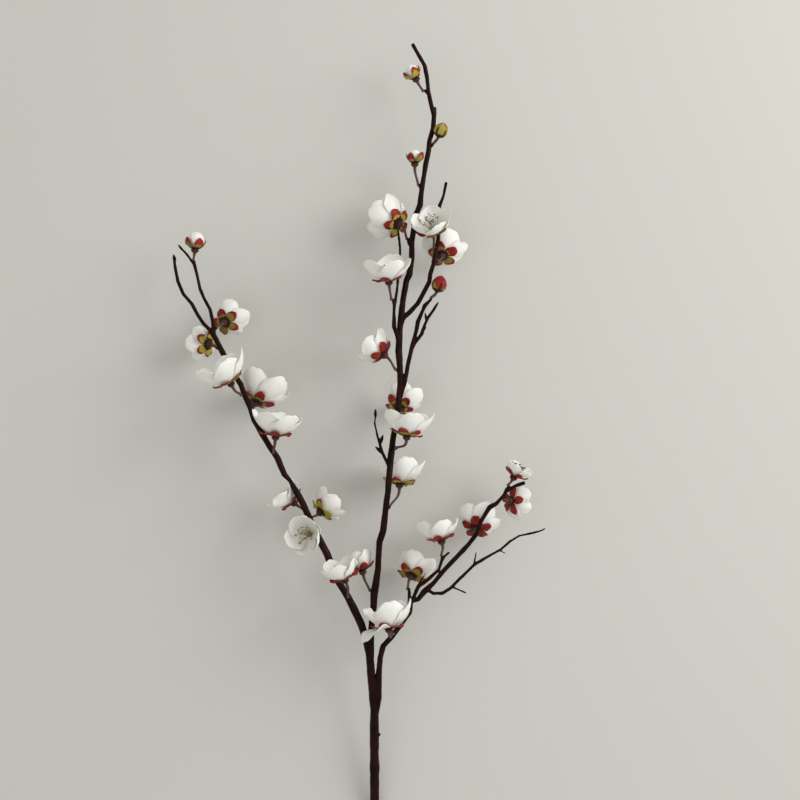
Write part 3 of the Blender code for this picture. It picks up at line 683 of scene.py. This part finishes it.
def openCalyx(bloom, draw):
    surface = Surface(("stalk", "ray", "blush", "lime", "seed"))
    redness, lime = calyxTint[bloom["name"]]
    seed = draw.uniform(0, 20)
    addStalk(surface, bloom, seed)
    rows, columns = sepalLook["rows"], sepalLook["columns"]
    for index in range(5):
        points, share, across = sepalGrid(bloom, index, draw, 0.6 if bloom["kind"] == "bud" else 1.0)
        thin = 1 - 0.5 * np.maximum(ramp(0.75, 1, share), ramp(0.8, 1, np.abs(across)))
        both, faces = closedSheet(points, rows, columns, sepalLook["wall"] * thin)
        own = redness + draw.uniform(-0.26, 0.22)
        blush = 0.48 + (share - (1.13 - own * 0.80)) * 1.8 + 0.20 * np.abs(across) ** 2
        midrib = np.exp(-(across / 0.20) ** 2) * ramp(0.62, 0.25, share)
        sinus = ramp(0.45, 0.9, np.abs(across)) * ramp(0.55, 0.30, share)
        ray = np.maximum(np.maximum(midrib, sinus), ramp(0.42, 0.26, share))
        surface.take(both, faces, np.tile(across * 0.5 + 0.5, 2), np.tile(share, 2), stalk=0.0, ray=np.tile(ray, 2),
                     blush=np.tile(blush, 2), lime=lime + draw.uniform(-0.15, 0.15), seed=seed + index * 3.1)
    return surface


# a shut bud's outline: height and half width, as shares of its length
shutOutline = ((0, 0.085), (0.05, 0.17), (0.12, 0.30), (0.33, 0.43), (0.58, 0.42), (0.82, 0.29), (0.94, 0.15),
               (1, 0.01))


def shutCalyx(bloom, draw):
    # a bud with its sepals still closed over the top, each lapping its neighbour
    surface = Surface(("stalk", "ray", "blush", "lime", "seed"))
    redness, lime = calyxTint[bloom["name"]]
    length, seed = bloom["size"], draw.uniform(0, 20)
    path = pedicelPath(bloom)[0][:-1]
    sides = 50
    spread = np.arange(sides) / sides * 2 * math.pi
    rises = np.linspace(0, 1, 24)
    widths = np.interp(rises, *zip(*shutOutline)) * length
    centres = [tuple(point) for point in path] + [(0, 0, length * rise) for rise in rises]
    radii = [sepalLook["pedicel"] * 1.15] * len(path)
    lap = (spread * 5 / (2 * math.pi)) % 1
    for rise, width in zip(rises, widths):
        step = 0.09 * ramp(0.0, 0.2, lap) * (1 - lap * 0.9) * ramp(0.1, 0.35, np.array(rise))
        radii.append(width * (0.96 + step + 0.05 * np.cos(5 * spread)))
    points, faces = closedTube(centres, radii, sides)
    rings = len(centres)
    up = np.repeat([0.0] * len(path) + list(rises), sides)
    stalk = np.repeat([1.0] * len(path) + [0.6, 0.2] + [0.0] * (len(rises) - 2), sides)
    seam = np.tile(np.maximum(ramp(0.20, 0.03, lap), ramp(0.80, 0.97, lap)), rings)
    blush = 0.5 + (up - (1.10 - redness * 0.8)) * 1.3 + 0.25 * np.tile(np.sin(2 * spread + seed), rings)
    ray = np.maximum(seam * ramp(0.95, 0.40, up), ramp(0.34, 0.10, up))
    surface.take(points, faces, np.tile(lap, rings), up, stalk=stalk, ray=ray, blush=blush, lime=lime, seed=seed)
    return surface


for name, bloom in blooms.items():
    draw = random.Random("calyx " + name)
    surface = shutCalyx(bloom, draw) if bloom["kind"] == "closed" else openCalyx(bloom, draw)
    addPiece(name + "_calyx", surface.mesh(bloom["place"]), sepalMaterial, ["calyx_" + name])
print("calyxes made")


stamenLook = {
    "filament": (0.33, 0.27, 0.17, 1), "anther": (0.060, 0.030, 0.012, 1), "pollen": (0.30, 0.19, 0.06, 1),
    "count": 26, "reach": 0.54, "hidden": 0.38, "lean": 0.55, "thread": 0.13 * mm, "antherSize": 0.50 * mm,
    "disc": 1.45 * mm, "dome": 1.5 * mm, "seat": 0.7 * mm, "leastOpen": -20,
}


def makeStamenMaterial():
    material, tree, shader = newMaterial("stamens cream and brown")
    cloud = addMottle(tree, 1500.0, 0.5)
    dusty = addMix(tree, addRange(tree, cloud, 0.45, 0.7), stamenLook["anther"], stamenLook["pollen"])
    colour = addMix(tree, readValue(tree, "anther"), stamenLook["filament"], dusty)
    dress(tree, shader, colour, addRange(tree, cloud, 0.3, 0.7, 0.5, 0.75), addBump(tree, cloud, 0.5, 0.1 * mm))
    return material


stamenMaterial = makeStamenMaterial()


def makeStamenTree():
    # filaments with anthers stand on a disc in a sunflower pattern, leaning out from its middle
    tree, given, result = newGroup("stamen ring", "Geometry", [
        ("Geometry", "Geometry", None), ("Count", "Int", 24), ("Length", "Float", 7 * mm), ("Lean", "Float", 0.5),
        ("Disc", "Float", 1.5 * mm), ("Thread", "Float", 0.1 * mm), ("Anther", "Float", 0.4 * mm), ("Seed", "Int", 0),
        ("Material", "Material", None)], [("Geometry", "Geometry")])
    line = addNode(tree, "GeometryNodeCurvePrimitiveLine", {"End": (0, 0, 1)})
    fine = addNode(tree, "GeometryNodeResampleCurve", {"Curve": line.outputs[0], "Count": 6})
    share = addNode(tree, "GeometryNodeSplineParameter").outputs["Factor"]
    bow = addMath(tree, "MULTIPLY", addMath(tree, "SINE", addMath(tree, "MULTIPLY", share, math.pi)), 0.10)
    offset = addNode(tree, "ShaderNodeCombineXYZ", {"X": bow})
    bent = addNode(tree, "GeometryNodeSetPosition", {"Geometry": fine.outputs[0], "Offset": offset.outputs[0]})
    size = addNode(tree, "ShaderNodeCombineXYZ", {key: given["Length"] for key in "XYZ"})
    scaled = addNode(tree, "GeometryNodeTransform", {"Geometry": bent.outputs[0], "Scale": size.outputs[0]})
    ring = addNode(tree, "GeometryNodeCurvePrimitiveCircle", {"Resolution": 6, "Radius": given["Thread"]})
    thread = addNode(tree, "GeometryNodeCurveToMesh", {"Curve": scaled.outputs[0], "Profile Curve": ring.outputs[0],
                                                       "Fill Caps": True})
    bean = addNode(tree, "GeometryNodeMeshUVSphere", {"Segments": 8, "Rings": 6, "Radius": given["Anther"]})
    tip = addNode(tree, "ShaderNodeCombineXYZ", {"Z": given["Length"]})
    headed = addNode(tree, "GeometryNodeTransform", {"Geometry": bean.outputs[0], "Translation": tip.outputs[0],
                                                     "Scale": (1.25, 0.8, 0.7)})
    marked = addNode(tree, "GeometryNodeStoreNamedAttribute", {"Geometry": headed.outputs[0], "Name": "anther",
                                                               "Value": 1.0}, data_type="FLOAT", domain="POINT")
    stamen = addNode(tree, "GeometryNodeJoinGeometry")
    tree.links.new(thread.outputs[0], stamen.inputs[0])
    tree.links.new(marked.outputs[0], stamen.inputs[0])

    place = addNode(tree, "GeometryNodePoints", {"Count": given["Count"]})
    index = addNode(tree, "GeometryNodeInputIndex").outputs[0]
    turn = addMath(tree, "MULTIPLY", index, math.pi * (3 - math.sqrt(5)))
    out = addMath(tree, "SQRT", addMath(tree, "DIVIDE", addMath(tree, "ADD", index, 1.5), given["Count"]))
    wide = addMath(tree, "MULTIPLY", out, given["Disc"])
    compass = {"X": addMath(tree, "COSINE", turn), "Y": addMath(tree, "SINE", turn)}
    spot = addNode(tree, "ShaderNodeCombineXYZ", {
        key: addMath(tree, "MULTIPLY", wide, part) for key, part in compass.items()})
    spread = addNode(tree, "GeometryNodeSetPosition", {"Geometry": place.outputs[0], "Position": spot.outputs[0]})
    loose = addNode(tree, "FunctionNodeRandomValue", {"Min": (-0.22, -0.22, 0), "Max": (0.22, 0.22, 0),
                                                      "Seed": given["Seed"]}, data_type="FLOAT_VECTOR")
    leanOut = addMath(tree, "MULTIPLY", out, given["Lean"])
    away = addNode(tree, "ShaderNodeCombineXYZ", {
        "Z": 1.0, **{key: addMath(tree, "MULTIPLY", leanOut, part) for key, part in compass.items()}})
    way = addNode(tree, "ShaderNodeVectorMath", {0: away.outputs[0], 1: loose.outputs[0]}, operation="ADD")
    aim = addNode(tree, "FunctionNodeAlignRotationToVector", {"Vector": way.outputs[0]}, axis="Z")
    tall = addNode(tree, "FunctionNodeRandomValue", {2: 0.78, 3: 1.12, "Seed": given["Seed"]}, data_type="FLOAT")
    grown = addNode(tree, "GeometryNodeInstanceOnPoints", {
        "Points": spread.outputs[0], "Instance": stamen.outputs[0], "Rotation": aim.outputs[0],
        "Scale": tall.outputs[1]})
    real = addNode(tree, "GeometryNodeRealizeInstances", {"Geometry": grown.outputs[0]})
    painted = addNode(tree, "GeometryNodeSetMaterial", {"Geometry": real.outputs[0], "Material": given["Material"]})
    feed(tree, result[0], painted.outputs[0])
    return tree


stamenTree = makeStamenTree()


def grownMesh(tree, base, values):
    carrier = carry(base)
    modifier = carrier.modifiers.new("grown", "NODES")
    modifier.node_group = tree
    for item in tree.interface.items_tree:
        if item.in_out == "INPUT" and item.name in values:
            modifier[item.identifier] = values[item.name]
    return baked(carrier)


def addPistil(mesh, dome, reach):
    # the receptacle's low dome and the one style in the middle
    profile = [(1.35, -0.2), (1.3, 0.05), (1.05, 0.28), (0.5, 0.42), (0.14, 0.5)]
    tall = [(0.10, reach * share) for share in (0.3, 0.6, 0.9)] + [(0.26, reach * 0.97), (0.18, reach * 1.01)]
    centres = [(0, 0, height * dome) for _, height in profile] + [(0.2 * mm, 0.1 * mm, height) for _, height in tall]
    radii = [width * dome for width, _ in profile] + [width * mm * 1.2 for width, _ in tall]
    points, faces = closedTube(centres, radii, 12)
    builder = bmesh.new()
    builder.from_mesh(mesh)
    made = [builder.verts.new(point) for point in points]
    for face in faces:
        builder.faces.new([made[corner] for corner in face])
    builder.to_mesh(mesh)
    builder.free()


for name, bloom in blooms.items():
    if bloom["kind"] != "open" or bloom["end"] < math.radians(stamenLook["leastOpen"]):
        continue
    draw = random.Random("stamens " + name)
    node = "stamens_" + name
    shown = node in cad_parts
    reach = stamenLook["reach" if shown else "hidden"] * bloom["size"]
    lean = stamenLook["lean"] * (0.35 + 0.65 * max(0.0, math.sin(bloom["end"] + 0.35)) / 0.8)
    mesh = grownMesh(stamenTree, bpy.data.meshes.new("empty"), {
        "Count": stamenLook["count"], "Length": reach, "Lean": lean, "Disc": stamenLook["disc"],
        "Thread": stamenLook["thread"], "Anther": stamenLook["antherSize"], "Seed": draw.randrange(1000),
        "Material": stamenMaterial})
    addPistil(mesh, stamenLook["dome"], reach * 0.95)
    mesh.transform(bloom["place"] @ Matrix.Translation((0, 0, stamenLook["seat"])))
    addPiece(name + "_stamens", mesh, stamenMaterial, [node] if shown else [])
print("stamens made")


woodLook = {
    "dark": (0.006, 0.0012, 0.0009, 1), "brown": (0.025, 0.0052, 0.0036, 1), "grey": (0.048, 0.016, 0.012, 1),
    "pore": (0.060, 0.034, 0.028, 1), "cut": (0.52, 0.38, 0.20, 1), "ring": (0.34, 0.21, 0.10, 1),
    "voxel": 0.46 * mm, "lump": 0.22 * mm, "grain": 0.085 * mm, "swell": 0.13 * mm,
    "lumpSize": 7 * mm, "grainSize": 0.9 * mm, "fineSize": 0.45 * mm, "ringSize": 1.7 * mm, "drawnOut": 0.86,
    "pores": 42000.0, "poreWidth": 0.30 * mm, "poreSeed": 4,
}


def makeWoodMaterial():
    look = woodLook
    material, tree, shader = newMaterial("bark dark plum brown")
    cloud = addMottle(tree, 90.0, 0.35)
    fine = addMottle(tree, 420.0, 0.6)
    base = addMix(tree, addRange(tree, cloud, 0.38, 0.70), look["dark"], look["brown"])
    worn = addMix(tree, addMath(tree, "MULTIPLY", addRange(tree, readValue(tree, "ridge"), 0.55, 0.95), 0.55),
                  base, look["grey"])
    pores = addMix(tree, readValue(tree, "pore"), worn, look["pore"])
    spot = addNode(tree, "ShaderNodeTexCoord").outputs["Object"]
    rings = addNode(tree, "ShaderNodeTexNoise", {"Vector": spot, "Scale": 900.0, "Detail": 2.0})
    heart = addMix(tree, addRange(tree, rings.outputs[0], 0.4, 0.6), look["cut"], look["ring"])
    colour = addMix(tree, readValue(tree, "cut"), pores, heart)
    raised = addBump(tree, cloud, 0.35, 0.5 * mm)
    dress(tree, shader, colour, addRange(tree, fine, 0.3, 0.7, 0.34, 0.60),
          addBump(tree, fine, 0.55, 0.25 * mm, raised), {"Specular IOR Level": 0.08})
    return material


woodMaterial = makeWoodMaterial()


def grainFinder(builder):
    # for a point on the wood, the way its limb runs: the longest edge of the CAD face nearest to it
    builder.faces.ensure_lookup_table()
    tree = BVHTree.FromBMesh(builder)
    ways = []
    for face in builder.faces:
        edge = max(face.edges, key=lambda side: side.calc_length())
        ways.append((edge.verts[1].co - edge.verts[0].co).normalized())
    return lambda point: ways[tree.find_nearest(point)[2]]


def growWood():
    look = woodLook
    builder = mergedCopy("branch")
    grainAt = grainFinder(builder)
    end = min(builder.faces, key=lambda face: face.calc_center_median().y)
    cutFaces = [face for face in builder.faces if face.normal.dot(end.normal) > 0.999
                and abs((face.calc_center_median() - end.calc_center_median()).dot(end.normal)) < 0.05 * mm]
    cutNormal = cutFaces[0].normal.copy()
    cutHeight = cutFaces[0].calc_center_median().dot(cutNormal)
    rough = bpy.data.meshes.new("wood")
    builder.to_mesh(rough)
    builder.free()
    carrier = carry(rough)
    remesh = carrier.modifiers.new("even", "REMESH")
    remesh.mode, remesh.voxel_size = "VOXEL", look["voxel"]
    smooth = carrier.modifiers.new("soft", "CORRECTIVE_SMOOTH")
    smooth.use_only_smooth, smooth.iterations, smooth.factor = True, 4, 0.5
    mesh = baked(carrier)
    print("wood has", len(mesh.vertices), "vertices")
    places = np.zeros((len(mesh.vertices), 3), np.float32)
    normals = np.zeros((len(mesh.vertices), 3), np.float32)
    mesh.vertices.foreach_get("co", places.ravel())
    mesh.vertex_normals.foreach_get("vector", normals.ravel())
    ridge, cut, heights = [], [], []
    for point, normal in zip(map(Vector, places.tolist()), map(Vector, normals.tolist())):
        way = grainAt(point)
        drawn = point - way * point.dot(way) * look["drawnOut"]  # the grain is drawn out along the limb
        lump = noise.noise(point / look["lumpSize"])
        line = noise.noise(drawn / look["grainSize"]) * 0.6 + noise.noise(drawn / look["fineSize"]) * 0.4
        ring = noise.noise(way * point.dot(way) / look["ringSize"])
        close = abs(point.dot(cutNormal) - cutHeight) < 0.2 * mm
        onCut = float(close and normal.dot(cutNormal) > 0.7)
        height = look["lump"] * lump + look["grain"] * (line + 0.35 * ring) + look["swell"]
        heights.append(height * (1 - onCut))
        ridge.append(0.5 + 0.5 * (line + 0.4 * ring))
        cut.append(onCut)
    places += normals * np.array(heights, np.float32)[:, None]
    places[:, 2] = aboveFloor(places[:, 2])
    mesh.vertices.foreach_set("co", places.ravel())
    mesh.update()
    for key, values in (("ridge", ridge), ("cut", cut)):
        attribute = mesh.attributes.new(key, "FLOAT", "POINT")
        attribute.data.foreach_set("value", values)
    return mesh, grainAt


woodMesh, grainAt = growWood()
addPiece("wood", woodMesh, woodMaterial, ["branch"])
print("wood made")


def makePoreTree():
    # lenticels: small raised corky dashes scattered over the bark, lying across the limb
    tree, given, result = newGroup("lenticels", "Geometry", [
        ("Geometry", "Geometry", None), ("Density", "Float", 20000.0), ("Width", "Float", 0.3 * mm),
        ("Seed", "Int", 4), ("Material", "Material", None)], [("Geometry", "Geometry")])
    dots = addNode(tree, "GeometryNodeDistributePointsOnFaces", {
        "Mesh": given["Geometry"], "Density": given["Density"], "Seed": given["Seed"]})
    way = addNode(tree, "GeometryNodeInputNamedAttribute", {"Name": "way"}, data_type="FLOAT_VECTOR")
    upright = addNode(tree, "FunctionNodeAlignRotationToVector", {"Vector": dots.outputs["Normal"]}, axis="Z")
    turned = addNode(tree, "FunctionNodeAlignRotationToVector", {"Rotation": upright.outputs[0],
                                                                 "Vector": way.outputs[0]}, axis="Y", pivot_axis="Z")
    bead = addNode(tree, "GeometryNodeMeshUVSphere", {"Segments": 8, "Rings": 4, "Radius": given["Width"]})
    flat = addNode(tree, "GeometryNodeTransform", {"Geometry": bead.outputs[0], "Scale": (1.0, 0.42, 0.28)})
    size = addNode(tree, "FunctionNodeRandomValue", {2: 0.45, 3: 1.15, "Seed": given["Seed"]}, data_type="FLOAT")
    grown = addNode(tree, "GeometryNodeInstanceOnPoints", {
        "Points": dots.outputs["Points"], "Instance": flat.outputs[0], "Rotation": turned.outputs[0],
        "Scale": size.outputs[1]})
    real = addNode(tree, "GeometryNodeRealizeInstances", {"Geometry": grown.outputs[0]})
    marked = addNode(tree, "GeometryNodeStoreNamedAttribute", {"Geometry": real.outputs[0], "Name": "pore",
                                                               "Value": 0.8}, data_type="FLOAT", domain="POINT")
    painted = addNode(tree, "GeometryNodeSetMaterial", {"Geometry": marked.outputs[0], "Material": given["Material"]})
    feed(tree, result[0], painted.outputs[0])
    return tree


def growPores():
    base = woodMesh.copy()
    ways = base.attributes.new("way", "FLOAT_VECTOR", "POINT")
    ways.data.foreach_set("vector", [part for vertex in base.vertices for part in grainAt(vertex.co)])
    return grownMesh(makePoreTree(), base, {"Density": woodLook["pores"], "Width": woodLook["poreWidth"],
                                            "Seed": woodLook["poreSeed"], "Material": woodMaterial})


addPiece("lenticels", growPores(), woodMaterial)
print("lenticels made")


stageLook = {
    "floor": (0.60, 0.595, 0.56, 1), "floorWarm": (0.575, 0.565, 0.525, 1), "size": 6.0,
    "world": 0.665, "worldColour": (1.0, 0.99, 0.95, 1),
}

# each lamp: its place from the sprig's middle, its strength, its width and its colour
lampLook = {
    "key": ((1.2, 0.6, 0.72), 16.5, 1.2, (0.985, 0.995, 1.0)),
    "fill": ((-0.9, -0.2, 1.3), 1.2, 1.4, (0.95, 0.97, 1.0)),
}


def makeStage():
    look = stageLook
    material, tree, shader = newMaterial("pale plaster")
    cloud = addMottle(tree, 1.6, 0.25)
    grit = addMottle(tree, 160.0, 0.5)
    dress(tree, shader, addMix(tree, cloud, look["floor"], look["floorWarm"]),
          addRange(tree, grit, 0.3, 0.7, 0.82, 0.95), addBump(tree, grit, 0.12, 0.3 * mm))
    builder = bmesh.new()
    bmesh.ops.create_grid(builder, x_segments=2, y_segments=2, size=look["size"] / 2)
    mesh = bpy.data.meshes.new("floor")
    builder.to_mesh(mesh)
    builder.free()
    mesh.materials.append(material)
    floor = bpy.data.objects.new("floor", mesh)
    wholeScene.objects.link(floor)


def addLamp(name, target):
    away, energy, size, colour = lampLook[name]
    lamp = bpy.data.lights.new(name, "AREA")
    lamp.shape, lamp.size, lamp.energy, lamp.color = "DISK", size, energy, colour
    holder = bpy.data.objects.new(name, lamp)
    holder.location = Vector(away) + target
    holder.rotation_euler = (target - holder.location).to_track_quat("-Z", "Y").to_euler()
    wholeScene.objects.link(holder)


makeStage()
middle = (Vector(cadBox[0]) + Vector(cadBox[1])) / 2
for name in lampLook:
    addLamp(name, middle)
world = bpy.data.worlds.new("soft room")
world.use_nodes = True
background = world.node_tree.nodes["Background"].inputs
background["Color"].default_value = stageLook["worldColour"]
background["Strength"].default_value = stageLook["world"]
bpy.context.scene.world = world
bpy.context.scene.view_settings.view_transform = "Standard"

cameraLook = {"lens": 85.0, "sensor": 36.0, "view": 0.520, "above": 0.0266, "aside": 0.0266, "woodHeight": 0.032}
camera = bpy.data.cameras.new("camera")
camera.lens, camera.sensor_width = cameraLook["lens"], cameraLook["sensor"]
cameraHolder = bpy.data.objects.new("camera", camera)
distance = cameraLook["view"] * cameraLook["lens"] / cameraLook["sensor"]
cameraHolder.location = (middle.x + cameraLook["aside"], cadBox[1][1] + cameraLook["above"] - cameraLook["view"] / 2,
                         cameraLook["woodHeight"] + distance)
wholeScene.objects.link(cameraHolder)
bpy.context.scene.camera = cameraHolder
print("floor, light and camera set")
